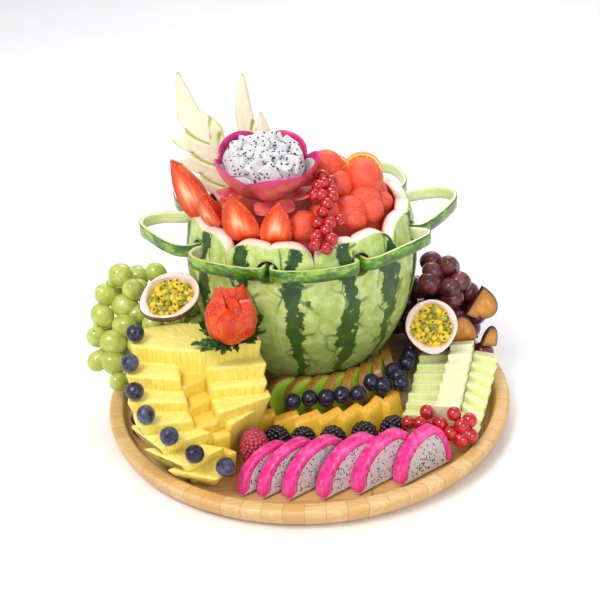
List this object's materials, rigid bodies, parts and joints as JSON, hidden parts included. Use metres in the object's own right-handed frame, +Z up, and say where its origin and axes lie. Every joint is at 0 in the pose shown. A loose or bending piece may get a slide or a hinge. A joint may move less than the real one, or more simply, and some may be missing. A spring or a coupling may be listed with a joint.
{
  "type": "fruit platter",
  "caption": "Carved watermelon basket heaped with fruit, standing on a round bamboo tray set with rows of cut fruit and berries.",
  "frame": {"origin": "centre of the tray's underside", "axes": "+Z up, -Y towards the front of the platter, where the dragon-fruit slices lie"},
  "size_m": [0.4218, 0.4203, 0.3272],
  "materials": {
    "bamboo": "satin bamboo staves",
    "melon_skin": "waxy striped rind",
    "rind": "waxy rind, pale inside",
    "watermelon": "moist flesh",
    "dragon_skin": "smooth dragon-fruit skin",
    "dragon_flesh": "seeded white flesh",
    "pale_melon": "moist flesh",
    "strawberry": "moist cut berry",
    "orange": "moist segments",
    "currant": "glossy translucent skin",
    "pineapple_flesh": "fibrous moist flesh",
    "blueberry": "skin with a bloom",
    "herb": "matt leaf",
    "passion": "skin, rim and seeded pulp",
    "green_grape": "glossy translucent skin",
    "red_grape": "glossy skin",
    "plum": "moist cut fruit",
    "kiwi": "moist cut fruit",
    "mango": "moist cut fruit",
    "bramble": "glossy drupelets",
    "raspberry": "soft drupelets",
    "honeydew": "moist flesh"
  },
  "bodies": {
    "root": {"tray": "bamboo", "melon": "melon_skin", "strip_1": "rind", "strip_2": "rind", "strip_3": "rind", "strip_4": "rind", "strip_5": "rind", "strip_6": "rind", "strip_7": "rind", "strip_8": "rind", "melon_balls": "watermelon", "flower_skin": "dragon_skin", "dragon_slice_1": "dragon_skin", "dragon_slice_2": "dragon_skin", "dragon_slice_3": "dragon_skin", "dragon_slice_4": "dragon_skin", "dragon_slice_5": "dragon_skin", "dragon_slice_6": "dragon_skin", "flower_flesh": "dragon_flesh", "carved_leaf_left": "pale_melon", "carved_leaf_right": "pale_melon", "strawberry_1": "strawberry", "strawberry_2": "strawberry", "strawberry_3": "strawberry", "strawberry_4": "strawberry", "strawberry_5": "strawberry", "rose": "strawberry", "orange_slice_1": "orange", "orange_slice_2": "orange", "currants_hanging": "currant", "currants_front": "currant", "pineapple": "pineapple_flesh", "blueberry_1": "blueberry", "blueberry_2": "blueberry", "blueberry_3": "blueberry", "blueberry_4": "blueberry", "blueberry_5": "blueberry", "blueberry_6": "blueberry", "blueberry_7": "blueberry", "blueberry_row": "blueberry", "rose_leaves": "herb", "passion_left": "passion", "passion_right": "passion", "green_grapes": "green_grape", "red_grapes": "red_grape", "plum_1": "plum", "plum_2": "plum", "plum_3": "plum", "plums_left": "plum", "kiwi_slices": "kiwi", "mango": "mango", "bramble_1": "bramble", "bramble_2": "bramble", "bramble_3": "bramble", "bramble_4": "bramble", "bramble_5": "bramble", "raspberry": "raspberry", "honeydew_left": "honeydew", "honeydew_middle": "honeydew", "honeydew_right": "honeydew"}
  },
  "joints": []
}
